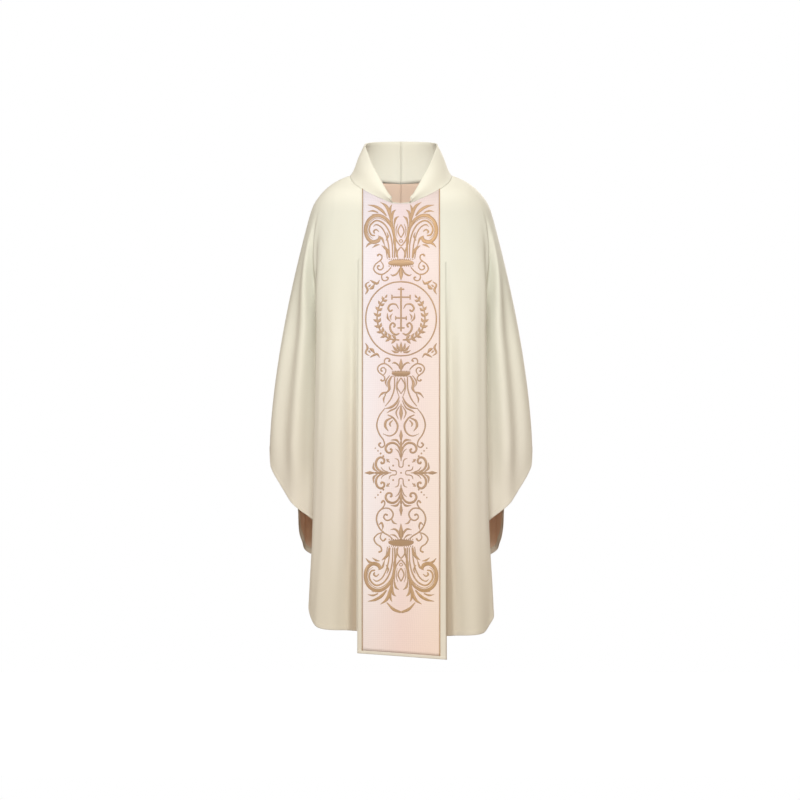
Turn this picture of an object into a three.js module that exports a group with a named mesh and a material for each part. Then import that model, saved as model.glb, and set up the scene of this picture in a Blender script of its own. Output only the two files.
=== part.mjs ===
// A full gothic chasuble as it hangs on a wearer: cut cloth, lining, collar, orphrey panels and braids.
// Millimetres, +Z up, the wearer faces -Y, so the wearer's left is +X. The origin is the middle of the
// neckline at the height of the neck points, where the shoulder seams end. "drop" is the distance below it.
import * as THREE from "three";

// Neckline and collar
const neckSide = 128; // half width of the neckline at the neck points
const neckDepth = { front: 98, back: 88 }; // neckline's reach forward and back
const neckDrop = { front: 76, back: 20 }; // how far the neckline falls at its middle
const neckGap = { front: 22, back: 0 }; // half the gap between the collar's ends
const collarSeamGap = 1.4; // the collar's lower edge stands this far above the cloth

// Shoulders and wings, measured on the ridge where front and back meet
const shoulderHalf = 237;
const shoulderDrop = 85;
const wingHalf = 350;
const wingTipDrop = 735;
const backTuck = { by: 74, over: 163 }; // how far the back of a wing falls inward under its tip

// Body of the garment
const chest = { drop: 336, reach: 150 };
const hemReach = 172;
const bodyHemDrop = 1214;
const columnHalf = { top: 220, low: 233 }; // half width of the flat front between its two deep folds
const columnFlare = 12;
const fold = { start: 110, full: 430, tuck: 34 };
const jointDrop = 95; // the wings lift from here down

// Panels that carry the orphreys
const panelHalf = 117;
const orphreyHalf = 102.5;
const panelDrop = { left: 1282, right: 1265 }; // the front panel's lower edge runs a little out of level
const panelSplit = 300; // the front panel is tacked down to here and hangs free below
const panelStandOff = { top: 3.2, low: 11.0 };
const panelHem = 8;
const braidWidth = 5;

// Layers, as distances from the garment's outer surface, negative inward
const cloth = { out: 0, in: -1.8 };
const lining = { out: -2.4, in: -3.4 };
const hemTape = { out: -4.0, in: -5.0, width: 16 };
const panelLining = { out: 1.2, in: 0.4 };
const backing = { out: 3.4, in: 1.8 };
const orphrey = { out: 5.0, in: 3.8 };
const braid = { out: 6.4, in: 3.8 };
const collarOuter = { out: 0, in: -1.5 };
const collarCore = { out: -1.9, in: -2.9 };
const collarInner = { out: -3.3, in: -4.8 };
const seamHalfGap = 0.35; // half the gap that a sewn seam keeps between its two pieces

const creamCloth = new THREE.MeshStandardMaterial({ color: 0xeae4d0, roughness: 0.75, metalness: 0 });
const satinLining = new THREE.MeshStandardMaterial({ color: 0xd9b79f, roughness: 0.5, metalness: 0 });
const pinkBrocade = new THREE.MeshStandardMaterial({ color: 0xf2dfe0, roughness: 0.45, metalness: 0 });
const goldBraid = new THREE.MeshStandardMaterial({ color: 0xb79a7c, roughness: 0.45, metalness: 0.3 });
const canvas = new THREE.MeshStandardMaterial({ color: 0xf0ece2, roughness: 0.9, metalness: 0 });

const chasuble = new THREE.Group();
const quarterTurn = Math.PI / 2;
const clamp = (value) => Math.min(1, Math.max(0, value));
const smooth = (value) => THREE.MathUtils.smoothstep(value, 0, 1);
const mix = (a, b, share) => a + (b - a) * share;

// ---- The garment's outer surface: one horizontal section at each drop, from the middle to the ridge ----

// The ridge where front meets back: a rounded shoulder, then the long fall of the wing.
function ridgeX(face, drop) {
  if (drop <= shoulderDrop) {
    const roundness = 0.9 * quarterTurn;
    const along = Math.sin((roundness * drop) / shoulderDrop) / Math.sin(roundness);
    return mix(neckSide, shoulderHalf, along);
  }
  const fallen = clamp((drop - shoulderDrop) / (wingTipDrop - shoulderDrop));
  const x = mix(shoulderHalf, wingHalf, 1 - (1 - fallen) ** 1.6);
  const tucked = face === "back" ? backTuck.by * smooth((drop - wingTipDrop) / backTuck.over) : 0;
  return x - tucked;
}

// A point of the neckline in plan.
function neckline(face, drop) {
  const angle = quarterTurn * clamp(drop / neckDrop[face]) ** 1.1;
  return {
    x: neckGap[face] + (neckSide - neckGap[face]) * Math.cos(angle),
    y: neckDepth[face] * Math.sin(angle),
  };
}

// How far the middle of the front or back stands from the shoulder line.
function middleReach(face, drop) {
  const toChest = clamp((drop - neckDrop[face]) / (chest.drop - neckDrop[face]));
  const toHem = Math.max(0, (drop - chest.drop) / (bodyHemDrop - chest.drop));
  const reach = mix(neckDepth[face], chest.reach, Math.sin(quarterTurn * toChest));
  return reach + (hemReach - chest.reach) * Math.min(toHem, 1.1);
}

function sectionStart(face, drop) {
  if (drop <= neckDrop[face]) return neckline(face, drop);
  const closing = clamp((drop - neckDrop[face]) / 1.5);
  return { x: neckGap[face] * (1 - closing), y: middleReach(face, drop) };
}

function columnX(drop) {
  const down = clamp((drop - 140) / 800);
  return mix(columnHalf.top, columnHalf.low, down) + columnFlare * smooth((drop - 900) / 300);
}

// Each section passes ten stations: middle, column, its rounded edge, the deep fold behind it, wing, ridge.
const stationAngles = [0, 0.4, 0.75, 0.87, 0.95, 1.03, 1.11, 1.27, 1.45, quarterTurn];
const lastStation = stationAngles.length - 1;
const wingStation = 6;

function section(face, drop) {
  const start = sectionStart(face, drop);
  const ridge = ridgeX(face, drop);
  const edge = columnX(drop);
  const reach = middleReach(face, drop);
  const folded = [
    [0, reach],
    [0.55 * edge, reach],
    [edge - 14, 0.83 * reach],
    [edge, 0.74 * reach],
    [edge - 12, 0.65 * reach],
    [edge - fold.tuck, 0.5 * reach],
    [edge - 16, 0.4 * reach],
    [mix(edge, ridge, 0.5), 0.33 * reach],
    [ridge - 3, 12],
    [ridge, 0],
  ];
  const deep = smooth((drop - fold.start) / (fold.full - fold.start));
  const stations = stationAngles.map((angle, k) => {
    const x = start.x + (ridge - start.x) * Math.sin(angle) ** 0.9;
    const y = k === lastStation ? 0 : start.y * Math.cos(angle) ** 0.9;
    return new THREE.Vector3(mix(x, folded[k][0], deep), mix(y, folded[k][1], deep), 0);
  });
  return new THREE.CatmullRomCurve3(stations, false, "centripetal");
}

// A point of one quarter of the garment, with x to the side and y away from the shoulder line.
function surfacePoint(face, station, drop) {
  const point = section(face, drop).getPoint(station / lastStation);
  point.z = -drop;
  return point;
}

function surfaceNormal(face, station, drop) {
  const [a, b] = [Math.max(0, station - 0.05), Math.min(lastStation, station + 0.05)];
  const across = surfacePoint(face, b, drop).sub(surfacePoint(face, a, drop));
  const down = surfacePoint(face, station, drop + 1.5).sub(surfacePoint(face, station, drop - 1.5));
  const normal = across.cross(down);
  if (station === lastStation) normal.y = 0;
  if (station === 0 && drop > neckDrop[face]) normal.x = 0;
  return normal.normalize();
}

// The hem, as a drop at each station.
const hemDrops = {
  front: [1214, 1213, 1200, 1158, 1100, 1040, 940, 870, 775, wingTipDrop],
  back: [1222, 1221, 1200, 1160, 1120, 1070, 1022, 992, 880, wingTipDrop],
};
const hemLines = {};
for (const face of ["front", "back"])
  hemLines[face] = new THREE.SplineCurve(hemDrops[face].map((drop, k) => new THREE.Vector2(k, drop)));
const hemDrop = (face, station) => hemLines[face].getPoint(station / lastStation).y;

// ---- Making closed shells from a grid of surface points ----

// outer and inner are rows of points; keep says which cells of the grid are cloth; turned flips the faces.
function shell(outer, inner, keep, turned) {
  const [rows, columns] = [outer.length, outer[0].length];
  const positions = [...outer.flat(), ...inner.flat()].flatMap((p) => [p.x, p.y, p.z]);
  const triangles = [];
  const quad = (a, b, c, d) => triangles.push(...(turned ? [a, c, b, a, d, c] : [a, b, c, a, c, d]));
  const at = (row, column) => row * columns + column;
  const under = rows * columns;
  const kept = (row, column) =>
    row >= 0 && column >= 0 && row < rows - 1 && column < columns - 1 && keep(row, column);
  for (let row = 0; row < rows - 1; row++)
    for (let column = 0; column < columns - 1; column++) {
      if (!kept(row, column)) continue;
      const [a, b] = [at(row, column), at(row, column + 1)];
      const [c, d] = [at(row + 1, column + 1), at(row + 1, column)];
      quad(a, d, c, b);
      quad(a + under, b + under, c + under, d + under);
      if (!kept(row - 1, column)) quad(a, b, b + under, a + under);
      if (!kept(row + 1, column)) quad(c, d, d + under, c + under);
      if (!kept(row, column - 1)) quad(d, a, a + under, d + under);
      if (!kept(row, column + 1)) quad(b, c, c + under, b + under);
    }
  // Points that no kept cell uses are left out.
  const used = [...new Set(triangles)].sort((a, b) => a - b);
  const renumbered = new Map(used.map((old, k) => [old, k]));
  const geometry = new THREE.BufferGeometry();
  const keptPositions = used.flatMap((k) => positions.slice(3 * k, 3 * k + 3));
  geometry.setAttribute("position", new THREE.Float32BufferAttribute(keptPositions, 3));
  geometry.setIndex(triangles.map((k) => renumbered.get(k)));
  geometry.computeVertexNormals();
  return geometry;
}

function addPiece(name, geometry, material) {
  const mesh = new THREE.Mesh(geometry, material);
  mesh.name = name;
  chasuble.add(mesh);
}

const steps = (from, to, count) => Array.from({ length: count + 1 }, (_, k) => mix(from, to, k / count));

// ---- Cloth, lining and hem tape: a quarter of the garment each, with the wing apart from the body ----

const bodyStations = [...steps(0, 2, 3), ...steps(2, wingStation, 8).slice(1)];
const capStations = steps(wingStation, lastStation, 3);
const fallingShares = [0, 0.04, 0.09, 0.16, 0.26, 0.4, 0.58, 0.78]; // of the way from the joint to the hem
const wingCut = 0.04; // gap between wing and body, in stations
const wingStations = [wingStation + wingCut, ...steps(wingStation, lastStation, 6).slice(1)];

const sides = { left: 1, right: -1 };
const faces = { front: -1, back: 1 };
const neckRows = { front: [1.5, 14, 28, 42, 58, neckDrop.front], back: [1.5, 5, 9, 14, neckDrop.back] };
const capRows = {
  front: [...neckRows.front, neckDrop.front + 1.5],
  back: [...neckRows.back, neckDrop.back + 1.5, 55],
};

// One layer's grid of points, moved from the quarter into its place.
function layerGrid(face, side, stations, rowDrops, offset) {
  return rowDrops.map((dropAt) =>
    stations.map((station) => {
      const drop = dropAt(station);
      const point = surfacePoint(face, station, drop);
      point.addScaledVector(surfaceNormal(face, station, drop), offset);
      return new THREE.Vector3(
        sides[side] * (Math.max(0, point.x) + seamHalfGap),
        faces[face] * (Math.max(0, point.y) + seamHalfGap),
        point.z,
      );
    }),
  );
}

function quarterShell(face, side, stations, rowDrops, layer, keep = () => true) {
  const outer = layerGrid(face, side, stations, rowDrops, layer.out);
  const inner = layerGrid(face, side, stations, rowDrops, layer.in);
  return shell(outer, inner, keep, sides[side] * faces[face] > 0);
}

// Rows from a level down to the hem, the last two being the edges of the hem tape.
function fallingRows(face, from) {
  const hem = (station) => hemDrop(face, station);
  const tapeTop = (station) => hem(station) - hemTape.width;
  return [...fallingShares.map((share) => (station) => mix(from, tapeTop(station), share)), tapeTop, hem];
}

function bodyPiece(face, side, layer) {
  const stations = [...bodyStations, ...capStations.slice(1)];
  const cap = capRows[face].map((drop) => () => drop);
  const keep = (row, column) => row < cap.length || column < bodyStations.length - 1;
  return quarterShell(face, side, stations, [...cap, ...fallingRows(face, jointDrop)], layer, keep);
}

const wingPiece = (face, side, layer) =>
  quarterShell(face, side, wingStations, fallingRows(face, jointDrop + 1), layer);

const tapePiece = (face, side, stations) =>
  quarterShell(face, side, stations, fallingRows(face, jointDrop).slice(-2), hemTape);

for (const side of Object.keys(sides))
  for (const face of Object.keys(faces)) {
    addPiece(`${face}_${side}_cloth`, bodyPiece(face, side, cloth), creamCloth);
    addPiece(`${face}_${side}_lining`, bodyPiece(face, side, lining), satinLining);
    addPiece(`${face}_${side}_hem_tape`, tapePiece(face, side, bodyStations), creamCloth);
    addPiece(`${side}_wing_${face}_cloth`, wingPiece(face, side, cloth), creamCloth);
    addPiece(`${side}_wing_${face}_lining`, wingPiece(face, side, lining), satinLining);
    addPiece(`${side}_wing_${face}_hem_tape`, tapePiece(face, side, wingStations.slice(0, -1)), creamCloth);
  }

// ---- Collar: two halves that stand on the neckline, each of cloth, canvas and facing ----

const collarSeam = [
  ...neckRows.front.toReversed().map((drop) => ["front", drop]),
  ...neckRows.back.map((drop) => ["back", drop]),
].map(([face, drop]) => {
  const { x, y } = neckline(face, drop);
  return new THREE.Vector3(x, faces[face] * y, collarSeamGap - drop);
});
const collarTop = [
  [27, -101, -64], [52, -86, -20], [76, -60, 22], [90, -27, 56],
  [98, 4, 77], [83, 50, 82], [45, 78, 84], [0, 86, 84],
].map((point) => new THREE.Vector3(...point));
const lastStop = collarSeam.length - 1;
const collarEdge = new THREE.CatmullRomCurve3(collarTop).getPoints(lastStop);
const collarRoll = 5; // how far the collar's face rounds out between seam and edge

const collarPoint = (stop, up) => collarSeam[stop].clone().lerp(collarEdge[stop], up);

function collarNormal(stop, up) {
  const ahead = collarPoint(Math.min(lastStop, stop + 1), up);
  const across = ahead.sub(collarPoint(Math.max(0, stop - 1), up));
  const normal = across.cross(collarPoint(stop, 1).sub(collarPoint(stop, 0)));
  if (stop === lastStop) normal.x = 0;
  if (up === 0) normal.z = 0;
  return normal.normalize();
}

function collarPiece(side, layer) {
  const grid = (offset) =>
    [0, 0.5, 1].map((up) =>
      collarSeam.map((_, stop) => {
        const rolled = offset + collarRoll * Math.sin(Math.PI * up);
        const point = collarPoint(stop, up).addScaledVector(collarNormal(stop, up), rolled);
        point.x = sides[side] * (Math.max(0, point.x) + seamHalfGap);
        return point;
      }),
    );
  return shell(grid(layer.out), grid(layer.in), () => true, sides[side] > 0);
}

for (const side of Object.keys(sides)) {
  addPiece(`collar_${side}_cloth`, collarPiece(side, collarOuter), creamCloth);
  addPiece(`collar_${side}_canvas`, collarPiece(side, collarCore), canvas);
  addPiece(`collar_${side}_facing`, collarPiece(side, collarInner), creamCloth);
}

// ---- Panels: a cream band down the middle of front and back, with the orphrey and its braids on it ----

// How far the garment's surface stands from the shoulder line at a distance x from the middle.
function reachAt(face, x, drop) {
  const across = section(face, drop);
  let [low, high] = [0, 3 / lastStation];
  for (let round = 0; round < 24; round++) {
    const middle = (low + high) / 2;
    if (across.getPoint(middle).x < x) low = middle;
    else high = middle;
  }
  return across.getPoint((low + high) / 2).y;
}

// The panel's upper edge follows the neckline just under the collar.
function panelTop(face, x) {
  const span = neckSide - neckGap[face];
  const angle = Math.acos(clamp((Math.abs(x) - neckGap[face]) / span));
  return neckDrop[face] * (angle / quarterTurn) ** (1 / 1.1) + 4;
}

function panelBottom(face, x) {
  if (face === "back") return bodyHemDrop + 4;
  return mix(panelDrop.right, panelDrop.left, (x + panelHalf) / (2 * panelHalf));
}

function panelPoint(face, x, drop, offset) {
  const looseness = face === "front" ? smooth((drop - panelSplit) / 600) : 0;
  const standOff = mix(panelStandOff.top, panelStandOff.low, looseness);
  const point = (at, down) => new THREE.Vector3(at, -reachAt(face, Math.abs(at), down), -down);
  const across = point(x + 2, drop).sub(point(x - 2, drop));
  const down = point(x, drop + 2).sub(point(x, drop - 2));
  const normal = down.cross(across).normalize();
  const placed = point(x, drop).addScaledVector(normal, offset + standOff);
  if (face === "back") placed.y = -placed.y;
  return placed;
}

const braidIn = orphreyHalf + 0.5;
const braidOut = braidIn + braidWidth;
const halfColumns = [30, 58, 80, 94, orphreyHalf, braidIn, braidOut, panelHalf];
const panelColumns = [...halfColumns.toReversed().map((x) => -x), 0, ...halfColumns];

// A layer of the panel from x0 to x1. Each row gives the drop at x, and all layers share rows and columns,
// so that they lie on one another without touching.
function panelLayer(face, x0, x1, rows, layer) {
  const columns = panelColumns.filter((x) => x >= x0 && x <= x1);
  const grid = (offset) => rows.map((row) => columns.map((x) => panelPoint(face, x, row(x), offset)));
  return shell(grid(layer.out), grid(layer.in), () => true, face === "back");
}

const rowsBetween = (top, bottom, shares) => shares.map((share) => (x) => mix(top(x), bottom(x), share));
const level = (drop) => () => drop;
const topEdge = (face) => (x) => panelTop(face, x);
const upperRows = rowsBetween(topEdge("front"), level(panelSplit), [0, 0.07, 0.16, 0.27, 0.4, 0.55, 0.76, 1]);
const hemLine = (x) => panelBottom("front", x) - panelHem;
const looseRows = rowsBetween(level(panelSplit + 1), hemLine, steps(0, 1, 6));
const hemRows = [(x) => hemLine(x) + 0.6, (x) => panelBottom("front", x)];
const backHem = (x) => panelBottom("back", x);
const backShares = [0, 0.012, 0.03, 0.06, 0.11, 0.18, 0.29, 0.44, 0.62, 0.8, 1];
const backRows = rowsBetween(topEdge("back"), backHem, backShares);
const braids = { left: [braidIn, braidOut], right: [-braidOut, -braidIn] };

// The front panel: its upper part is tacked to the cloth, the rest hangs free.
addPiece("front_band_upper", panelLayer("front", -panelHalf, panelHalf, upperRows, backing), creamCloth);
const bandRows = [...looseRows, ...hemRows];
addPiece("front_band", panelLayer("front", -panelHalf, panelHalf, bandRows, backing), creamCloth);
const upperOrphrey = panelLayer("front", -orphreyHalf, orphreyHalf, upperRows, orphrey);
addPiece("front_orphrey_upper", upperOrphrey, pinkBrocade);
addPiece("front_orphrey", panelLayer("front", -orphreyHalf, orphreyHalf, looseRows, orphrey), pinkBrocade);
addPiece("front_panel_lining", panelLayer("front", -braidOut, braidOut, looseRows, panelLining), satinLining);
addPiece("front_panel_hem", panelLayer("front", -panelHalf, panelHalf, hemRows, orphrey), creamCloth);
for (const [side, [x0, x1]] of Object.entries(braids)) {
  addPiece(`front_${side}_braid_upper`, panelLayer("front", x0, x1, upperRows, braid), goldBraid);
  addPiece(`front_${side}_braid`, panelLayer("front", x0, x1, looseRows, braid), goldBraid);
}

addPiece("back_band", panelLayer("back", -panelHalf, panelHalf, backRows, backing), creamCloth);
addPiece("back_orphrey", panelLayer("back", -orphreyHalf, orphreyHalf, backRows, orphrey), pinkBrocade);
for (const [side, [x0, x1]] of Object.entries(braids))
  addPiece(`back_${side}_braid`, panelLayer("back", x0, x1, backRows, braid), goldBraid);

export default chasuble;
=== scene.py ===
import math

import bmesh
import bpy
import numpy as np
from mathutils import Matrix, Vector


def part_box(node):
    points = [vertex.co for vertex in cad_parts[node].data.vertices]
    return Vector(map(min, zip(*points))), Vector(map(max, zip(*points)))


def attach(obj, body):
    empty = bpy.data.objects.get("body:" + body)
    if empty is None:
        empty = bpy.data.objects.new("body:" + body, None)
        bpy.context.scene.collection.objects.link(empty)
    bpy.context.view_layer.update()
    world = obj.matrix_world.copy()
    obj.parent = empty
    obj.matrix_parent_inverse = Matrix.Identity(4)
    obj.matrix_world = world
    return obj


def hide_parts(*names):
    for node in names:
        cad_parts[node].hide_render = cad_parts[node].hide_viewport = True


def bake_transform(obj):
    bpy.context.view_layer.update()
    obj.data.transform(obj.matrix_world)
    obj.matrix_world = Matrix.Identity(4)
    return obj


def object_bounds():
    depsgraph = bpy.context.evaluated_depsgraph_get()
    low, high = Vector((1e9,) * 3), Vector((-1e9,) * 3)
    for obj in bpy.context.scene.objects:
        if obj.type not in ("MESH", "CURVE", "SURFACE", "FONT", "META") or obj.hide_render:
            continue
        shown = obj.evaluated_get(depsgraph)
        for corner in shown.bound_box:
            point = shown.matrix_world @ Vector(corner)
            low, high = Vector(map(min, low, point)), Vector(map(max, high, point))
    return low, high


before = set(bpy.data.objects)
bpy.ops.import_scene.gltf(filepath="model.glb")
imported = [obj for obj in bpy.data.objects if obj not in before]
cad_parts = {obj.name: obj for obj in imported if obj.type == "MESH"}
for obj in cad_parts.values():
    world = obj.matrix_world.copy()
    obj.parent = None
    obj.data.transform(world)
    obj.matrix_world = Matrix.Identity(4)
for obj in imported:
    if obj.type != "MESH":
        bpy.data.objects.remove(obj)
cad_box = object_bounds()

# ---- Studio -----------------------------------------------------------------------------------------------
# A long lens square on to the front of the vestment, at the height of its middle, so that the wings behind
# keep their true width beside the panel in front.
camera_distance = 14.0
view_width = 2.12
view_middle = Vector((-0.0027, -0.08, -0.599))

camera_data = bpy.data.cameras.new("camera")
camera_data.lens = camera_data.sensor_width * camera_distance / view_width
camera = bpy.data.objects.new("camera", camera_data)
camera.location = view_middle - Vector((0, camera_distance, 0))
camera.rotation_euler = (math.radians(90), 0, 0)
bpy.context.collection.objects.link(camera)
bpy.context.scene.camera = camera
bpy.context.scene.view_settings.view_transform = "Standard"

# The floor is a wide white sheet under the garment, bright enough to run into the white behind it.
floor_drop = 0.16
floor_mesh = bpy.data.meshes.new("floor")
floor_sheet = bmesh.new()
bmesh.ops.create_grid(floor_sheet, x_segments=1, y_segments=1, size=2.2)
bmesh.ops.translate(floor_sheet, verts=floor_sheet.verts, vec=(0, 0, cad_box[0][2] - floor_drop))
floor_sheet.to_mesh(floor_mesh)
floor_sheet.free()
floor = bpy.data.objects.new("floor", floor_mesh)
bpy.context.collection.objects.link(floor)
floor.visible_diffuse = False

floor_paint = bpy.data.materials.new("floor_white")
floor_paint.use_nodes = True
floor_shader = floor_paint.node_tree.nodes["Principled BSDF"]
floor_shader.inputs["Base Color"].default_value = (0.9, 0.89, 0.88, 1)
floor_shader.inputs["Roughness"].default_value = 0.9
floor_shader.inputs["Emission Color"].default_value = (1, 1, 1, 1)
floor_shader.inputs["Emission Strength"].default_value = 0.75
floor_mesh.materials.append(floor_paint)

# The room is white all round. It shows as pure white, and lights the cloth a little less than that.
room = bpy.data.worlds.new("room")
bpy.context.scene.world = room
room.use_nodes = True
room_nodes = room.node_tree
room_seen = room_nodes.nodes["Background"]
room_seen.inputs["Color"].default_value = (1, 1, 1, 1)
room_light = room_nodes.nodes.new("ShaderNodeBackground")
room_light.inputs["Color"].default_value = (1.0, 0.82, 0.62, 1)
room_light.inputs["Strength"].default_value = 0.38
room_choice = room_nodes.nodes.new("ShaderNodeMixShader")
room_path = room_nodes.nodes.new("ShaderNodeLightPath")
room_nodes.links.new(room_path.outputs["Is Camera Ray"], room_choice.inputs["Fac"])
room_nodes.links.new(room_light.outputs["Background"], room_choice.inputs[1])
room_nodes.links.new(room_seen.outputs["Background"], room_choice.inputs[2])
room_nodes.links.new(room_choice.outputs["Shader"], room_nodes.nodes["World Output"].inputs["Surface"])


def soft_box(name, place, aim, width, height, power, color):
    data = bpy.data.lights.new(name, "AREA")
    data.shape = "RECTANGLE"
    data.size = width
    data.size_y = height
    data.energy = power
    data.color = color
    lamp = bpy.data.objects.new(name, data)
    lamp.location = place
    lamp.rotation_euler = (Vector(aim) - Vector(place)).to_track_quat("-Z", "Y").to_euler()
    bpy.context.collection.objects.link(lamp)


soft_box("front_light", (-0.02, -3.3, 1.75), (0, 0, -0.4), 1.2, 1.2, 130, (0.965, 1.0, 0.985))
soft_box("low_light", (0.1, -2.6, -2.1), (0, 0, -1.0), 1.6, 0.8, 17, (1.0, 0.76, 0.52))
soft_box("left_light", (-3.4, -1.2, 0.6), (0, 0, -0.6), 1.0, 2.0, 5, (0.95, 0.96, 1.0))
soft_box("back_light", (1.6, 3.4, 1.4), (0, 0, -0.5), 1.8, 1.8, 105, (1.0, 0.98, 0.95))

# ---- Cut and drape ----------------------------------------------------------------------------------------
# The garment hangs from the neck and shoulders. Its surface is a stack of level lines, each from the middle
# of the front or back, over a flat column, into the deep fold behind it and out over the wing to the ridge.
neck_half = 0.128
neck_reach = {"front": 0.098, "back": 0.088}
neck_fall = {"front": 0.076, "back": 0.020}
throat_half = {"front": 0.022, "back": 0.0}
neck_curve = 1.1
shoulder_half, shoulder_fall = 0.237, 0.085
shoulder_turn = 0.78  # how much of a quarter turn the shoulder makes before the wing begins
wing_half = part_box("left_wing_front_cloth")[1][0] - 0.0004
wing_tip = 0.735
back_tuck = 0.074  # below the wing's tip the back draws in towards the column
chest_fall, chest_reach, hem_reach, body_fall = 0.336, 0.150, 0.172, 1.214
quarter_turn = math.pi / 2


def ease(value):
    value = np.clip(value, 0, 1)
    return value * value * (3 - 2 * value)


def mix(a, b, share):
    return a + (b - a) * share


def swell(place, middle, half):
    """A soft bump, 1 at the middle and gone about two halves away."""
    return np.exp(-(((place - middle) / half) ** 2))


def ridge_x(face, drop):
    """How far out the wing's ridge lies at a drop: over the shoulder, then down the wing."""
    if drop <= shoulder_fall:
        turn = shoulder_turn * quarter_turn
        return mix(neck_half, shoulder_half, math.sin(turn * (drop / shoulder_fall) ** 0.7) / math.sin(turn))
    fallen = min(1, (drop - shoulder_fall) / (wing_tip - shoulder_fall))
    tuck = back_tuck * ease((drop - wing_tip) / 0.163) if face == "back" else 0
    return mix(shoulder_half, wing_half, 1 - (1 - fallen) ** 1.6) - tuck


def neckline(face, drop):
    """Where the neckline lies at a drop, from the neck point down to the throat."""
    angle = quarter_turn * min(1, drop / neck_fall[face]) ** neck_curve
    x = mix(throat_half[face], neck_half, math.cos(angle))
    return x, neck_reach[face] * math.sin(angle)


def middle_reach(face, drop):
    """How far the middle of the front or back stands from the shoulder line."""
    chest = np.clip((drop - neck_fall[face]) / (chest_fall - neck_fall[face]), 0, 1)
    low = np.clip((drop - chest_fall) / (body_fall - chest_fall), 0, 1.1)
    reach = mix(neck_reach[face], chest_reach, np.sin(quarter_turn * chest))
    return reach + (hem_reach - chest_reach) * low


def column_edge(drop):
    """How far out the flat column ends and the deep fold behind it begins."""
    return mix(0.220, 0.233, min(1, max(0, (drop - 0.14) / 0.8))) + 0.012 * ease((drop - 0.9) / 0.3)


def curve_through(points, at):
    """Points of a smooth curve that passes each given point; at counts along the points from 0."""
    points = np.asarray(points, float)
    points = np.vstack([2 * points[0] - points[1], points, 2 * points[-1] - points[-2]])
    k = np.clip(np.floor(at).astype(int), 0, len(points) - 4)
    t = (at - k)[:, None]
    p0, p1, p2, p3 = (points[k + j] for j in range(4))
    d0, d1, d2 = (np.sqrt(np.linalg.norm(b - a, axis=1))[:, None] for a, b in ((p0, p1), (p1, p2), (p2, p3)))
    d1 = np.maximum(d1, 1e-6)
    d0 = np.where(d0 < 1e-4, d1, d0)
    d2 = np.where(d2 < 1e-4, d1, d2)
    m1 = ((p1 - p0) / d0 - (p2 - p0) / (d0 + d1) + (p2 - p1) / d1) * d1
    m2 = ((p2 - p1) / d1 - (p3 - p1) / (d1 + d2) + (p3 - p2) / d2) * d1
    return p1 + m1 * t + (3 * (p2 - p1) - 2 * m1 - m2) * t**2 + (2 * (p1 - p2) + m1 + m2) * t**3


# Ten stations along each level line. These angles space them over the shoulder.
station_angles = [0, 0.4, 0.75, 0.87, 0.95, 1.03, 1.11, 1.27, 1.45, quarter_turn]
last_station = len(station_angles) - 1
shoulder_round = 0.9
neck_closing = 0.0015


def level_line(face, drop, at):
    """A level line over the shoulder, and lower down over the column, into the fold and out to the ridge."""
    if drop <= neck_fall[face]:
        start = neckline(face, drop)
    else:
        closing = min(1, (drop - neck_fall[face]) / neck_closing)
        start = throat_half[face] * (1 - closing), middle_reach(face, drop)
    ridge, edge, reach = ridge_x(face, drop), column_edge(drop), middle_reach(face, drop)
    hanging = [
        (0, reach),
        (0.55 * edge, reach),
        (edge - 0.026, 0.90 * reach),
        (edge, 0.72 * reach),
        (edge - 0.010, 0.62 * reach),
        (edge - 0.034, 0.50 * reach),
        (edge - 0.016, 0.40 * reach),
        (mix(edge, ridge, 0.5), 0.33 * reach),
        (ridge - 0.003, 0.012),
        (ridge, 0),
    ]
    hangs = ease((drop - 0.110) / 0.320)
    line = []
    for k, angle in enumerate(station_angles):
        x = start[0] + (ridge - start[0]) * math.sin(angle) ** shoulder_round
        y = 0 if k == last_station else start[1] * math.cos(angle) ** shoulder_round
        line.append((mix(x, hanging[k][0], hangs), mix(y, hanging[k][1], hangs)))
    return curve_through(line, at)


shoulder_blur = 0.022


def level_table(face, drops, at):
    """Level lines at many drops, eased into each other over the shoulder so that it has no crease."""
    lines = np.array([level_line(face, drop, at) for drop in drops])
    near = np.exp(-(((drops[:, None] - drops[None, :]) / shoulder_blur) ** 2)) * np.gradient(drops)[None, :]
    near /= near.sum(axis=1, keepdims=True)
    eased = np.einsum("ij,jkc->ikc", near, lines)
    over_shoulder = ease((drops - 0.015) / 0.05) * (1 - ease((drops - 0.3) / 0.1))
    return mix(lines, eased, over_shoulder[:, None, None] * ease(at / 0.6)[None, :, None])


# The hem's drop at each station, front and back.
hem_at_station = {
    "front": [1.214, 1.213, 1.205, 1.158, 1.100, 1.040, 0.940, 0.870, 0.775, wing_tip],
    "back": [1.208, 1.207, 1.188, 1.146, 1.110, 1.066, 1.024, 0.997, 0.930, wing_tip],
}


def hem_drop(face, at):
    line = np.array([[k, fall] for k, fall in enumerate(hem_at_station[face])])
    return curve_through(line, at)[:, 1]


# Cloth columns lie closer together where the folds are tight, and rows closer at the neck and the hem.
stations = np.concatenate([
    np.linspace(0, 2, 34, endpoint=False),
    np.linspace(2, 6.5, 56, endpoint=False),
    np.linspace(6.5, 8, 24, endpoint=False),
    np.linspace(8, last_station, 17),
])
neck_rows = np.array([
    0.6, 2, 4, 7, 10, 14, 17, 20, 21.5, 26, 32, 38, 45, 52, 60, 68, 76, 77.5, 82, 88,
]) / 1000
joint_drop = 0.095
hem_depth = 0.016
hem_tilt = 0.007  # the wearer's left side of the hem hangs a little lower than the right
fall_shares = np.concatenate([np.linspace(0, 0.12, 12, endpoint=False), np.linspace(0.12, 1, 72)])
hem_shares = np.linspace(0, 1, 9)[1:]


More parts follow.
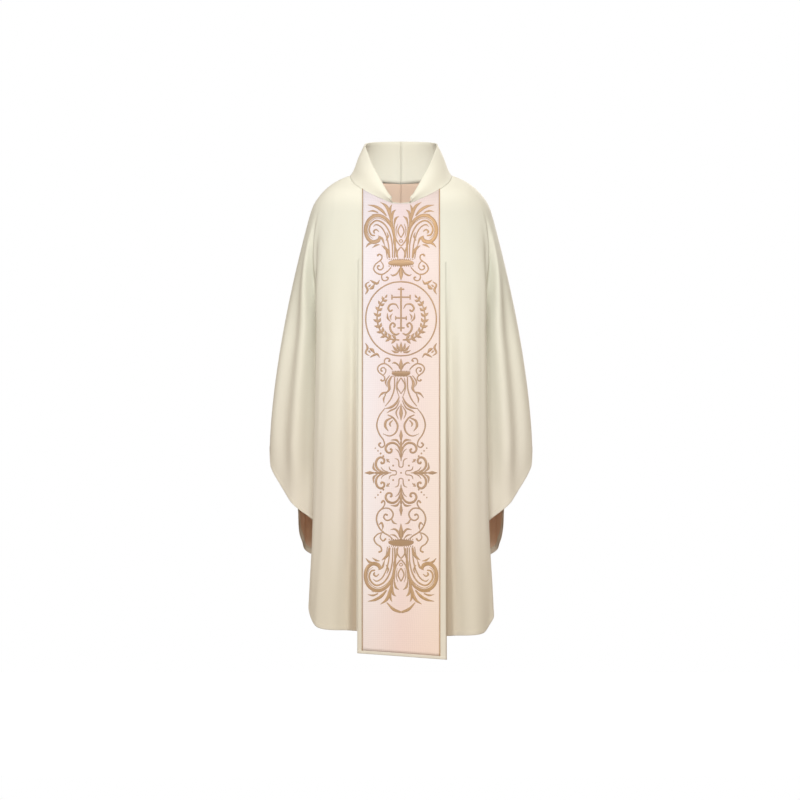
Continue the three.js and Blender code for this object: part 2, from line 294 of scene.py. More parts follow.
def drape(face, side):
    """One quarter of the outer face: its points, its normals and their heights above the hem."""
    table_drops = np.concatenate([neck_rows, np.linspace(joint_drop, 1.27, 220)])
    table = level_table(face, table_drops, stations)
    hem = hem_drop(face, stations) + hem_tilt * side * ease(stations) * (1 - ease((stations - 4) / 3))
    rows = [np.full_like(stations, drop) for drop in neck_rows]
    rows += [mix(joint_drop, hem - hem_depth, share) for share in fall_shares]
    rows += [hem - hem_depth * (1 - share) for share in hem_shares]
    drops = np.array(rows)
    place = np.empty(drops.shape + (3,))
    for column in range(len(stations)):
        place[:, column, 0] = np.interp(drops[:, column], table_drops, table[:, column, 0])
        place[:, column, 1] = np.interp(drops[:, column], table_drops, table[:, column, 1])
    place[..., 2] = -drops
    place[..., :2] = np.maximum(place[..., :2], 0)
    below_neck = drops[:, 0] > neck_fall[face] + 0.001
    normal = outward(place)
    normal[:, -1, 1] = 0
    normal[below_neck, 0, 0] = 0
    normal /= np.linalg.norm(normal, axis=2, keepdims=True)
    place += normal * folds(face, side, stations[None, :], drops, hem[None, :])[..., None]
    place[:, -1, 1] = 0
    place[below_neck, 0, 0] = 0
    turned = np.array([side, -1 if face == "front" else 1, 1])
    return place * turned, normal * turned, hem[None, :] - drops


def outward(place):
    across = np.gradient(place, axis=1)
    down = np.gradient(place, axis=0)
    normal = np.cross(across, down)
    return normal / np.maximum(np.linalg.norm(normal, axis=2, keepdims=True), 1e-12)


# Each fold: how far it stands out, its station, how far that differs between the sides and drifts with each
# metre of drop, its half-width in stations, and the drop at which it starts and over which it deepens.
panel_folds = {
    "front": [(-0.0180, 1.05, 0, 0, 0.22, 0.22, 0.35), (0.0030, 1.55, 0, 0, 0.30, 0.22, 0.35)],
    "back": [(-0.0040, 1.15, 0, 0, 0.14, 0.22, 0.35), (0.0040, 1.60, 0.1, 0, 0.22, 0.22, 0.35)],
}
wing_folds = [
    (0.0150, 6.80, 0, 0.2, 0.26, 0.11, 0.32),
    (-0.0230, 6.30, 0, 0.1, 0.24, 0.09, 0.22),
    (-0.0060, 7.35, 0, 0.2, 0.28, 0.18, 0.30),
    (0.0035, 7.65, -0.1, 0, 0.24, 0.25, 0.30),
]
broad_sway, fine_sway, column_sway = 0.0008, 0.0003, 0.0035
hem_ridge = 0.0005  # the turned-up edge makes the hem stand out by this much


def folds(face, side, at, drop, hem):
    """How far the cloth stands out of its plain drape, in metres."""
    out = np.zeros(np.broadcast(at, drop).shape)
    for depth, station, lean, drift, half, start, deepens in panel_folds[face] + wing_folds:
        middle = station + lean * side + drift * (drop - 0.4)
        out += depth * swell(at, middle, half) * ease((drop - start) / deepens)
    calm = ease((drop - 0.12) / 0.4) * (1 - 0.8 * swell(at, last_station, 0.5))
    phase = 1.7 * np.sin(2.1 * drop + side)
    out += calm * broad_sway * np.sin(5.3 * at + phase) * np.sin(3.3 * drop + 1.3 * side + at)
    out += calm * fine_sway * np.sin(11.1 * at - 2 * phase + 0.7)
    column = ease((at - 0.95) / 0.4) * (1 - ease((at - 2.5) / 0.7))
    out += column_sway * ease((drop - 0.95) / 0.28) * np.sin(4.1 * at + 0.9 * side) * column
    settled = 1 - 0.7 * ease((drop - hem + 0.16) / 0.14) * ease((at - 5.8) / 0.5)
    ridge = hem_ridge * ease((drop - (hem - 0.014)) / 0.003) * (at > 1)
    return out * settled * ease((at - 0.88) / 0.2) + ridge


def add_grid(mesh, place, grain):
    """Adds a sheet to an open mesh, with its points at place[row][column] and its weave laid out by grain."""
    rows, columns = place.shape[:2]
    made = bmesh.ops.create_grid(mesh, x_segments=columns - 1, y_segments=rows - 1, size=1)
    weave = mesh.loops.layers.uv.verify()
    for vert in made["verts"]:
        column = round((vert.co.x + 1) / 2 * (columns - 1))
        row = round((1 - vert.co.y) / 2 * (rows - 1))
        vert.co = place[row, column]
        for loop in vert.link_loops:
            loop[weave].uv = grain[row, column]


def finish_piece(name, mesh, material, body, thickness=0):
    """Makes an object of an open mesh, with its stuff and its thickness; with body None it is left
    unattached.
    """
    data = bpy.data.meshes.new(name)
    mesh.to_mesh(data)
    mesh.free()
    data.shade_smooth()
    data.materials.append(material)
    piece = bpy.data.objects.new(name, data)
    bpy.context.collection.objects.link(piece)
    if thickness:
        wall = piece.modifiers.new("thickness", "SOLIDIFY")
        wall.thickness = thickness
        wall.offset = -1
    if body:
        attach(piece, body)
    return piece


def in_order(place, side):
    """A mirrored half is laid from its other edge, so that its face still points out."""
    return place if side > 0 else place[:, ::-1]


sides = {"left": 1, "right": -1}
halves = {}
for name, side in sides.items():
    front_place, front_normal, front_height = drape("front", side)
    back_place, back_normal, back_height = drape("back", side)
    halves[name] = {
        "place": np.concatenate([front_place, back_place[:, -2::-1]], axis=1),
        "normal": np.concatenate([front_normal, back_normal[:, -2::-1]], axis=1),
        "height": np.concatenate([front_height, back_height[:, -2::-1]], axis=1),
    }
    hem_line = halves[name]["place"][-1]
    steps = np.linalg.norm(np.diff(hem_line, axis=0), axis=1)
    halves[name]["along"] = np.concatenate([[0], np.cumsum(steps)])

# ---- Shared cloth effects ---------------------------------------------------------------------------------
# Every cloth here is woven of fine thread, and none is one flat colour. Two node groups give the weave as a
# height, and a slow drift of tone over the cloth; the functions before them add the nodes they share.


def new_group(name, inputs, output, kind):
    """A node group with its named inputs and one output."""
    group = bpy.data.node_groups.new(name, "ShaderNodeTree")
    for label, input_kind in inputs:
        group.interface.new_socket(name=label, in_out="INPUT", socket_type=input_kind)
    group.interface.new_socket(name=output, in_out="OUTPUT", socket_type=kind)
    start = group.nodes.new("NodeGroupInput")
    end = group.nodes.new("NodeGroupOutput")
    return group, start.outputs, end.inputs


def add_node(tree, kind, settings=None, **links):
    """Adds a node; links names its inputs by label or as i0, i1, each a socket to link or a value to set."""
    node = tree.nodes.new(kind)
    for name, value in (settings or {}).items():
        setattr(node, name, value)
    for label, value in links.items():
        socket = node.inputs[int(label[1:]) if label[1:].isdigit() else label.replace("_", " ")]
        if isinstance(value, bpy.types.NodeSocket):
            tree.links.new(value, socket)
        else:
            socket.default_value = value
    return node


def worked_out(tree, operation, *values):
    """A sum done on one to three values."""
    inputs = {f"i{k}": value for k, value in enumerate(values)}
    return add_node(tree, "ShaderNodeMath", {"operation": operation}, **inputs).outputs[0]


def ranged(tree, value, start, end, low=0.0, high=1.0, kind="LINEAR"):
    """How far value has gone from start to end, as a share from low to high."""
    node = add_node(
        tree, "ShaderNodeMapRange", {"interpolation_type": kind},
        Value=value, From_Min=start, From_Max=end, To_Min=low, To_Max=high,
    )
    return node.outputs["Result"]


def mixed(tree, share, first, second, kind="MIX"):
    settings = {"data_type": "RGBA", "blend_type": kind}
    return add_node(tree, "ShaderNodeMix", settings, Factor=share, i6=first, i7=second).outputs[2]


def ramped(tree, share, stops, kind="LINEAR"):
    """A colour that runs through stops of position and colour, given with the two outer stops first."""
    node = add_node(tree, "ShaderNodeValToRGB", None, Fac=share)
    node.color_ramp.interpolation = kind
    for element, (position, color) in zip(node.color_ramp.elements, stops):
        element.position = position
        element.color = (*color, 1)
    for position, color in stops[2:]:
        node.color_ramp.elements.new(position).color = (*color, 1)
    return node.outputs["Color"]


def parted(tree, place):
    return add_node(tree, "ShaderNodeSeparateXYZ", None, Vector=place).outputs


# Threads that cross at right angles, with a slight unevenness, from a coordinate in metres.
weave_group, weave_in, weave_out = new_group(
    "weave",
    [("Vector", "NodeSocketVector"), ("Threads", "NodeSocketFloat"), ("Slub", "NodeSocketFloat")],
    "Height", "NodeSocketFloat",
)
warp, weft = (
    add_node(
        weave_group, "ShaderNodeTexWave", {"wave_type": "BANDS", "bands_direction": direction},
        Vector=weave_in["Vector"], Scale=weave_in["Threads"], Distortion=0.6, Detail=1.0,
    ).outputs["Fac"]
    for direction in ("X", "Z")
)
slub = add_node(weave_group, "ShaderNodeTexNoise", None, Vector=weave_in["Vector"], Scale=420.0, Detail=3.0)
crossing = worked_out(weave_group, "MAXIMUM", warp, weft)
slub_part = worked_out(weave_group, "MULTIPLY", slub.outputs["Fac"], weave_in["Slub"])
weave_group.links.new(worked_out(weave_group, "ADD", crossing, slub_part), weave_out["Height"])

# A slow drift between two tones, streaked the way the cloth hangs.
tone_group, tone_in, tone_out = new_group(
    "tone",
    [("Vector", "NodeSocketVector"), ("Light", "NodeSocketColor"), ("Deep", "NodeSocketColor")],
    "Color", "NodeSocketColor",
)
stretch = add_node(tone_group, "ShaderNodeMapping", None, Vector=tone_in["Vector"], Scale=(1.0, 1.0, 0.25))
drifting = add_node(
    tone_group, "ShaderNodeTexNoise", None, Vector=stretch.outputs["Vector"], Scale=7.0, Detail=3.0
)
streaks = ranged(tone_group, drifting.outputs["Fac"], 0.3, 0.7)
tone_group.links.new(mixed(tone_group, streaks, tone_in["Light"], tone_in["Deep"]), tone_out["Color"])


def new_cloth_material(name, roughness, sheen, coordinates="Object"):
    """A material with its shader set for cloth, and the coordinates its weave lies in."""
    material = bpy.data.materials.new(name)
    material.use_nodes = True
    tree = material.node_tree
    shader = tree.nodes["Principled BSDF"]
    shader.inputs["Roughness"].default_value = roughness
    shader.inputs["Sheen Weight"].default_value = sheen
    shader.inputs["Sheen Roughness"].default_value = 0.5
    shader.inputs["Specular IOR Level"].default_value = 0.3
    place = tree.nodes.new("ShaderNodeTexCoord").outputs[coordinates]
    return material, tree, shader, place


def woven(tree, place, threads, slub):
    """The height of a weave with so many threads to the metre, uneven by slub."""
    settings = {"node_tree": weave_group}
    node = add_node(tree, "ShaderNodeGroup", settings, Vector=place, Threads=threads, Slub=slub)
    return node.outputs["Height"]


def dyed(tree, place, light, deep):
    """A colour that drifts between light and deep."""
    node = add_node(tree, "ShaderNodeGroup", {"node_tree": tone_group}, Vector=place, Light=light, Deep=deep)
    return node.outputs["Color"]


def surface(tree, shader, color, height, strength, distance):
    """Gives a cloth its colour, and its weave as a bump of some strength over a distance."""
    bump = add_node(tree, "ShaderNodeBump", None, Strength=strength, Distance=distance, Height=height)
    tree.links.new(color, shader.inputs["Base Color"])
    tree.links.new(bump.outputs["Normal"], shader.inputs["Normal"])


# ---- Outer cloth ------------------------------------------------------------------------------------------
# Cream wool crepe, matt and smooth, cut as two halves that meet down the middle under the panels. The hem
# is turned up inside and caught with a row of small stitches that just show.
cream_light = (0.790, 0.772, 0.680, 1)
cream_deep = (0.755, 0.728, 0.628, 1)
stitch_color = (0.70, 0.62, 0.47, 1)
stitch_above_hem = 0.0130
stitch_half = 0.0005
stitch_pitch = 0.005
panel_low = -1.28  # the drop over which every dye changes, from the neckline down

cream_cloth, cream_tree, cream_shader, cream_place = new_cloth_material("cream_crepe", 0.78, 0.25)
cream_parts = parted(cream_tree, cream_place)
cream_down = ranged(cream_tree, cream_parts["Z"], 0.0, panel_low)
# Painted light and shade by height: lighter and cooler at the neck, darker over the shoulders and upper
# chest, lighter again down the body and warmer towards the hem.
cream_painted_light = ramped(cream_tree, cream_down, [
    (0.03, (1.03, 1.04, 1.06)),
    (0.85, (0.99, 0.955, 0.95)),
    (0.08, (0.90, 0.925, 0.95)),
    (0.20, (0.92, 0.945, 0.965)),
    (0.34, (1.02, 1.035, 1.06)),
    (0.70, (1.03, 1.00, 1.03)),
])
cream = mixed(cream_tree, 1.0, dyed(cream_tree, cream_place, cream_light, cream_deep), cream_painted_light, "MULTIPLY")
# Below the chest, a painted highlight lightens the panel's cream edges, and a painted shadow darkens and
# warms the cloth just beside the panel.
off_middle = worked_out(cream_tree, "ABSOLUTE", cream_parts["X"])
panel_painted_shade_and_highlight = ramped(cream_tree, ranged(cream_tree, off_middle, 0.110, 0.156), [
    (0.155, (1.07, 1.08, 1.11)),
    (1.0, (1, 1, 1)),
    (0.185, (0.667, 0.573, 0.494)),
], "EASE")
below_chest = ranged(cream_tree, cream_parts["Z"], -0.30, -1.05, high=0.85, kind="SMOOTHSTEP")
cream = mixed(cream_tree, below_chest, cream, panel_painted_shade_and_highlight, "MULTIPLY")
# A running stitch holds the hem, at a set height above the edge.
hem_parts = parted(cream_tree, cream_tree.nodes["Texture Coordinate"].outputs["UV"])
on_line = worked_out(cream_tree, "COMPARE", hem_parts["Y"], stitch_above_hem, stitch_half)
run = worked_out(cream_tree, "PINGPONG", hem_parts["X"], stitch_pitch / 2)
in_stitch = worked_out(cream_tree, "LESS_THAN", run, stitch_pitch / 5)
stitch = worked_out(cream_tree, "MULTIPLY", on_line, in_stitch)
cream = mixed(cream_tree, stitch, cream, stitch_color)
cream_weave = worked_out(cream_tree, "MULTIPLY_ADD", stitch, -3.0, woven(cream_tree, cream_place, 380.0, 1.2))
surface(cream_tree, cream_shader, cream, cream_weave, 0.25, 0.0004)

cloth_thickness = 0.0012


def half_sheet(name, part, node_part, inset, material, slot, thickness, rows=slice(None)):
    """One half of the garment, front and back in one piece, laid inset from the outer face."""
    half, side = halves[name], sides[name]
    place = half["place"][rows] - half["normal"][rows] * inset
    grain = np.stack(np.broadcast_arrays(half["along"][None, :], half["height"][rows]), axis=-1)
    mesh = bmesh.new()
    add_grid(mesh, in_order(place, side), in_order(grain, side))
    piece = finish_piece(f"{name}_{part}", mesh, material, None, thickness)
    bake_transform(piece)
    column_nodes = [f"{face}_{name}_{node_part}" for face in ("front", "back")]
    wing_nodes = [f"{name}_wing_{face}_{node_part}" for face in ("front", "back")]
    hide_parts(*column_nodes, *wing_nodes)
    return piece


for name in sides:
    cloth = half_sheet(name, "cloth", "cloth", 0, cream_cloth, "cream_cloth", cloth_thickness)

# ---- Lining -----------------------------------------------------------------------------------------------
# Old-rose satin behind the whole of the cloth, ending a little above the hem, so that it never shows below.
lining_inset = 0.0030
lining_thickness = 0.0006
lining_rows = slice(0, -2)

lining_satin, lining_tree, lining_shader, lining_place = new_cloth_material("rose_satin", 0.42, 0.1)
rose = dyed(lining_tree, lining_place, (0.94, 0.74, 0.61, 1), (0.88, 0.67, 0.54, 1))
surface(lining_tree, lining_shader, rose, woven(lining_tree, lining_place, 700.0, 0.3), 0.15, 0.0002)

for name in sides:
    lining = half_sheet(
        name, "lining", "lining", lining_inset, lining_satin, "satin_lining", lining_thickness, lining_rows
    )

# ---- Hem --------------------------------------------------------------------------------------------------
# The edge of the crepe is turned up inside all round and felled over the lining, a finger's width deep.
hem_inset = 0.0042
hem_thickness = 0.0008
hem_rows = slice(-1 - len(hem_shares), None)

for name in sides:
    hem = half_sheet(name, "hem", "hem_tape", hem_inset, cream_cloth, "cream_cloth", hem_thickness, hem_rows)

# ---- Collar -----------------------------------------------------------------------------------------------
# Two halves that stand on the neckline and fall open to the throat. Each is one piece of crepe folded over
# stiff canvas at its upper edge, so it rounds over the fold and both faces are cloth.
collar_edge = np.array([
    (27, -101, -64), (52, -86, -20), (76, -60, 22), (90, -27, 56),
    (98, 4, 80), (84, 50, 88), (46, 78, 91), (0, 86, 92),
]) / 1000
collar_roll = 0.005
collar_flare = 0.0045  # it spreads on to the shoulders over its foot, the lowest part of its height
collar_foot = 0.4
collar_columns = 72


def collar_seam(along):
    """The neckline as a curve, from the throat at 0 round to the middle of the back at 1."""
    face = "front" if along < 0.5 else "back"
    angle = quarter_turn * abs(1 - 2 * along)
    x = mix(throat_half[face], neck_half, math.cos(angle))
    y = neck_reach[face] * math.sin(angle) * (-1 if face == "front" else 1)
    return x, y, -neck_fall[face] * (angle / quarter_turn) ** (1 / neck_curve)


collar_along = np.linspace(0, 1, collar_columns + 1)
seam_line = np.array([collar_seam(along) for along in collar_along])
edge_line = curve_through(collar_edge, collar_along * (len(collar_edge) - 1))


def collar_sheet(ups, offsets, side):
    """Rows of points on the collar, each at a height from seam to edge and an offset from its outer face."""
    place = np.array([mix(seam_line, edge_line, up) for up in ups])
    across = np.gradient(place, axis=1)
    normal = np.cross(across, np.broadcast_to(edge_line - seam_line, place.shape))
    normal[:, -1, 0] = 0
    normal /= np.linalg.norm(normal, axis=2, keepdims=True)
    rolled = offsets + collar_roll * np.sin(math.pi * np.clip(ups, 0, 1))
    spread = np.clip(1 - ups / collar_foot, 0, 1.1)[:, None] ** 2 * collar_flare
    flare = spread * swell(collar_along, 0.47, 0.2)
    place = place + normal * (rolled[:, None] + flare)[..., None]
    place[..., 0] = np.maximum(place[..., 0], 0)
    return place * np.array([side, 1, 1])


rise = np.linspace(0, 1, 13)
seam_lift, seam_share = 0.0008, 0.2  # over the lowest fifth the outer face stands off the seam a little
fold_turn = np.linspace(0, math.pi, 7)[1:-1]
fold_radius = 0.0019
fold_height = 0.018
seam_cover = 0.045  # the lower edge goes past the seam by this share of the collar's height
# Up the outer face, over the fold, and down the inner face.
collar_ups = np.concatenate([[-seam_cover], rise, 1 + fold_height * np.sin(fold_turn), rise[::-1]])
collar_offsets = np.concatenate([
    [0.0014],
    np.where(rise < seam_share, seam_lift * (1 - rise / seam_share), 0),
    -fold_radius * (1 - np.cos(fold_turn)),
    np.full(rise.shape, -2 * fold_radius),
])
collar_thickness = 0.001

# The canvas lies between the collar's two faces.
canvas_ups = np.linspace(0.02, 0.97, 12)
canvas_offsets = np.full(canvas_ups.shape, -0.0016)
canvas_thickness = 0.0006
canvas_cloth, canvas_tree, canvas_shader, canvas_place = new_cloth_material("collar_canvas", 0.9, 0.0)
canvas_dye = dyed(canvas_tree, canvas_place, (0.82, 0.78, 0.66, 1), (0.74, 0.69, 0.57, 1))
canvas_weave = woven(canvas_tree, canvas_place, 180.0, 0.5)
surface(canvas_tree, canvas_shader, canvas_dye, canvas_weave, 0.6, 0.0004)


def plain_grain(place):
    """Weave coordinates in metres along a sheet's rows and columns."""
    rows, columns = place.shape[:2]
    along = np.linalg.norm(np.diff(place[rows // 2], axis=0), axis=1).cumsum()
    down = np.linalg.norm(np.diff(place[:, columns // 2], axis=0), axis=1).cumsum()
    u, v = np.meshgrid(np.concatenate([[0], along]), np.concatenate([[0], down]))
    return np.stack([u, 1 + v], axis=-1)


def collar_piece(name, part, ups, offsets, material, thickness):
    side = sides[name]
    place = collar_sheet(ups, offsets, side)[::-1]
    mesh = bmesh.new()
    add_grid(mesh, in_order(place, side), in_order(plain_grain(place), side))
    return finish_piece(f"{name}_{part}", mesh, material, "garment", thickness)


for name in sides:
    collar = collar_piece(
        name, "collar", collar_ups, collar_offsets, cream_cloth, collar_thickness
    )
    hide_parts(f"collar_{name}_cloth", f"collar_{name}_facing")
    canvas = collar_piece(
        name, "canvas", canvas_ups, canvas_offsets, canvas_cloth, canvas_thickness
    )
    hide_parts(f"collar_{name}_canvas")

# ---- Panel band -------------------------------------------------------------------------------------------
# A cream band down the middle of front and back carries the orphrey. At the front it is tacked down as far
# as the chest and hangs free below, clear of the cloth behind it and longer than the body.
panel_half = 0.117
panel_below_seam = 0.003
panel_gap = 0.0003
panel_flush = {"front": 0.0008, "back": 0.0005}  # what is tacked down sinks into the cloth by this much
tack_drop = 0.300
panel_clearance = 0.0128  # how far the free end hangs in front of the cloth
panel_ripple = 0.0022
margin_sink, margin_start = 0.0012, 0.103  # where the band is tacked, its margins lie closer than its middle
panel_columns = 40
panel_rows = 150
panel_end = {"front": (1.265, 1.282), "back": (1.206, 1.206)}
reach_drops = np.concatenate([neck_rows, np.linspace(joint_drop, 1.32, 180)])
reach_across = np.linspace(0, 0.135, 46)
reach_table = {}
for face in ("front", "back"):
    lines = level_table(face, reach_drops, np.linspace(0, 2.2, 120))
    reach_table[face] = np.array([np.interp(reach_across, line[:, 0], line[:, 1]) for line in lines])


def reach_at(face, x, drop):
    """How far the cloth stands from the shoulder line, at x from the middle and a drop."""
    column = np.clip(np.abs(x) / reach_across[-1] * (len(reach_across) - 1), 0, len(reach_across) - 1.001)
    row = np.clip(np.interp(drop, reach_drops, np.arange(len(reach_drops))), 0, len(reach_drops) - 1.001)
    c, r = column.astype(int), row.astype(int)
    fc, fr = column - c, row - r
    table = reach_table[face]
    upper = mix(table[r, c], table[r, c + 1], fc)
    lower = mix(table[r + 1, c], table[r + 1, c + 1], fc)
    return mix(upper, lower, fr)


def panel_top(face, x):
    span = neck_half - throat_half[face]
    angle = np.arccos(np.clip((np.abs(x) - throat_half[face]) / span, 0, 1))
    return neck_fall[face] * (angle / quarter_turn) ** (1 / neck_curve) + panel_below_seam


def panel_bottom(face, x):
    return mix(*panel_end[face], (x + panel_half) / (2 * panel_half))


def on_panel(face, x, drop, lift):
    """A point at x and a drop on the panel, lifted from its underside; x and drop are arrays."""
    x, drop, lift = np.broadcast_arrays(x, drop, lift)
    step = 0.002  # how far apart the slopes are measured
    reach = reach_at(face, x, drop)
    slope_x = (reach_at(face, x + step, drop) - reach_at(face, x - step, drop)) / (2 * step)
    slope_drop = (reach_at(face, x, drop + step) - reach_at(face, x, drop - step)) / (2 * step)
    normal = np.stack([-slope_x, np.ones_like(x), slope_drop], axis=-1)
    normal /= np.linalg.norm(normal, axis=-1, keepdims=True)
    free = ease((drop - tack_drop) / 0.6) if face == "front" else np.zeros_like(x)
    ripple = panel_ripple * np.sin(9 * drop + 14 * x) * ease((drop - 0.9) / 0.3) * free
    tacked = 1 - ease((drop - 0.14) / 0.34)
    flush = panel_flush[face] * tacked if face == "front" else panel_flush[face]
    flush = flush + margin_sink * ease((np.abs(x) - margin_start) / 0.008) * tacked
    away = lift + panel_gap - flush + panel_clearance * free + ripple
    place = np.stack([x, reach, -drop], axis=-1) + normal * away[..., None]
    return place * np.array([1, -1 if face == "front" else 1, 1])


def lay_panel(face, x0, x1, lift, short=0.0, top=panel_top, rows=panel_rows):
    """Points and weave of a strip of the panel, from top to a little short of the panel's end."""
    x = np.linspace(x0, x1, panel_columns + 1)[None, :]
    share = np.linspace(0, 1, rows + 1)[:, None] ** 1.15
    drop = mix(top(face, x), panel_bottom(face, x) - short, share)
    place = on_panel(face, x, drop, lift)
    grain = np.stack(np.broadcast_arrays(x, drop), axis=-1)
    if face == "back":
        place, grain = place[:, ::-1], grain[:, ::-1]
    return place, grain


def panel_piece(name, face, mesh, material, thickness=0):
    """A piece on the panel; at the front it is left unattached, with its placing baked into its points."""
    piece = finish_piece(name, mesh, material, None if face == "front" else "garment", thickness)
    if face == "front":
        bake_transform(piece)
    return piece


def panel_strip(name, face, strip, material, thickness, nodes):
    """A piece made of one strip, and the nodes of the frame that it replaces."""
    mesh = bmesh.new()
    add_grid(mesh, *strip)
    piece = panel_piece(name, face, mesh, material, thickness)
    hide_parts(*nodes)
    return piece


band_lift = 0.0013
band_thickness = 0.0010
band_edge = {"front": (-0.1145, 0.1195), "back": (-panel_half, panel_half)}  # the front one hangs off centre
band_nodes = {"front": ["front_band_upper", "front_band"], "back": ["back_band"]}
for face, (x0, x1) in band_edge.items():
    strip = lay_panel(face, x0, x1, band_lift)
    band = panel_strip(
        f"{face}_panel", face, strip, cream_cloth, band_thickness, band_nodes[face]
    )

# ---- Orphrey ----------------------------------------------------------------------------------------------
# Pale pink satin brocade laid on the band between two gold cords, with painted light that shifts from lilac
# at one side to peach at the other, and painted shade near the neck. A woven ground of tiny lozenges shows
# when it is seen close.
orphrey_half = 0.1015
orphrey_lift = 0.0021
orphrey_thickness = 0.0005
satin_short = {"front": 0.008, "back": 0.002}  # the satin ends this far above the band's end
orphrey_nodes = {"front": ["front_orphrey_upper", "front_orphrey"], "back": ["back_orphrey"]}

brocade, brocade_tree, brocade_shader, brocade_place = new_cloth_material("pink_brocade", 0.42, 0.15)
brocade_parts = parted(brocade_tree, brocade_place)
# The ground is painted lilac at one side, rose in the middle and peach at the other: a painted shift of light
# across the panel.
brocade_painted_side_light = ramped(brocade_tree, ranged(brocade_tree, brocade_parts["X"], -0.10, 0.10), [
    (0.0, (0.970, 0.935, 0.990)),
    (1.0, (0.980, 0.860, 0.810)),
    (0.5, (0.965, 0.830, 0.840)),
])
# Painted shade and light by height: darker towards the neck, full brightness lower down and warmer at the
# end.
brocade_painted_light_by_height = ramped(brocade_tree, ranged(brocade_tree, brocade_parts["Z"], 0.0, panel_low), [
    (0.0, (0.68, 0.66, 0.69)),
    (1.0, (1.0, 0.93, 0.88)),
    (0.3, (0.87, 0.86, 0.89)),
    (0.75, (1.0, 1.0, 1.0)),
])
pink = mixed(brocade_tree, 1.0, brocade_painted_side_light, brocade_painted_light_by_height, "MULTIPLY")
pink_deep = mixed(brocade_tree, 1.0, pink, (0.96, 0.95, 0.94, 1), "MULTIPLY")
lozenge_turn = add_node(
    brocade_tree, "ShaderNodeMapping", None, Vector=brocade_place, Rotation=(0, math.radians(45), 0)
)
lozenges = add_node(
    brocade_tree, "ShaderNodeTexChecker", None,
    Vector=lozenge_turn.outputs["Vector"], Color1=(1, 1, 1, 1), Color2=(0.96, 0.955, 0.955, 1), Scale=260.0,
)
brocade_dye = dyed(brocade_tree, brocade_place, pink, pink_deep)
ground = mixed(brocade_tree, 1.0, brocade_dye, lozenges.outputs["Color"], "MULTIPLY")
brocade_weave = woven(brocade_tree, brocade_place, 520.0, 0.4)
raised = worked_out(brocade_tree, "MULTIPLY_ADD", lozenges.outputs["Fac"], 0.8, brocade_weave)
surface(brocade_tree, brocade_shader, ground, raised, 0.25, 0.0003)

for face, short in satin_short.items():
    strip = lay_panel(face, -orphrey_half, orphrey_half, orphrey_lift, short)
    orphrey = panel_strip(
        f"{face}_brocade", face, strip, brocade, orphrey_thickness, orphrey_nodes[face]
    )

# ---- Gold cords and thread --------------------------------------------------------------------------------
# Two fine gold cords are couched along the edges of the orphrey, and its ornament is worked in satin stitch
# over padding, so that each leaf and scroll stands up from the satin. The thread is dull gilt, not bright.
gilt, gilt_tree, gilt_shader, gilt_place = new_cloth_material("gilt_thread", 0.42, 0.1, "UV")
gilt_shader.inputs["Metallic"].default_value = 0.25
stitch_lines = add_node(
    gilt_tree, "ShaderNodeTexWave", {"wave_type": "BANDS", "bands_direction": "X"},
    Vector=gilt_place, Scale=260.0, Distortion=0.8, Detail=2.0,
)
gilt_object = gilt_tree.nodes["Texture Coordinate"].outputs["Object"]
gilt_parts = parted(gilt_tree, gilt_object)
gilt_dye = ramped(gilt_tree, ranged(gilt_tree, gilt_parts["Z"], 0.0, panel_low), [
    (0.0, (0.66, 0.41, 0.19)),
    (1.0, (0.66, 0.41, 0.18)),
    (0.33, (0.54, 0.35, 0.22)),
    (0.70, (0.50, 0.33, 0.22)),
    (0.80, (0.64, 0.40, 0.18)),
])
# Near the neck a painted sheen brightens the thread on the wearer's left and dims it on the right.
gilt_painted_sheen = ramped(gilt_tree, ranged(gilt_tree, gilt_parts["X"], -0.10, 0.10), [
    (0.0, (0.76, 0.82, 0.98)),
    (1.0, (1.26, 1.20, 1.02)),
])
near_neck = ranged(gilt_tree, gilt_parts["Z"], -0.60, -0.15, low=0.15)
gilt_light = mixed(gilt_tree, near_neck, gilt_dye, gilt_painted_sheen, "MULTIPLY")
gilt_tone = dyed(gilt_tree, gilt_object, gilt_light, (0.47, 0.32, 0.21, 1))
between_stitches = (0.38, 0.25, 0.16, 1)
gilt_stitched = mixed(gilt_tree, stitch_lines.outputs["Fac"], between_stitches, gilt_tone)
# Each stroke is darker along its edges, where the stitches go down into the satin.
from_line = worked_out(gilt_tree, "ABSOLUTE", parted(gilt_tree, gilt_place)["Y"])
at_edge = ranged(gilt_tree, from_line, 0.55, 0.95, high=0.65)
gilt_color = mixed(gilt_tree, at_edge, gilt_stitched, (0.30, 0.19, 0.125, 1))
surface(gilt_tree, gilt_shader, gilt_color, stitch_lines.outputs["Fac"], 0.5, 0.0003)

cord_half = 0.0014
cord_rise = 0.0013
cord_sink = 0.0003
cord_middle = orphrey_half + 0.0002
round_over = np.linspace(-1, 1, 7)


def cord_strip(face, middle, short):
    """A cord along the panel at x = middle: round on top and laid down at its edges."""
    x = (middle + cord_half * round_over)[None, :]
    share = np.linspace(0, 1, panel_rows + 1)[:, None]
    drop = mix(panel_top(face, x), panel_bottom(face, x) - short, share)
    lift = orphrey_lift - cord_sink + cord_rise * np.sqrt(1 - round_over**2)[None, :]
    grain = np.stack(np.broadcast_arrays(drop, round_over[None, :]), axis=-1)
    place = on_panel(face, x, drop, lift)
    return (place[:, ::-1], grain[:, ::-1]) if face == "back" else (place, grain)


for face, short in satin_short.items():
    for name, side in sides.items():
        strip = cord_strip(face, side * cord_middle, short)
        nodes = [f"{face}_{name}_braid"] + ([f"front_{name}_braid_upper"] if face == "front" else [])
        panel_strip(f"{face}_{name}_cord", face, strip, gilt, 0, nodes)

# ---- Ornament ---------------------------------------------------------------------------------------------
# Scrolls and acanthus leaves in gilt satin stitch, the same on both sides of the panel's middle. Each stroke
# is a line of a few points with its widths, padded up in the middle and rounded at both ends.
stroke_rise = 0.0009
stroke_sink = 0.0001  # its edges go into the satin by this much
stroke_weight = 1.25
full_padding = 3  # strokes narrower than this, in millimetres, are padded less
blunt_least = 0.2


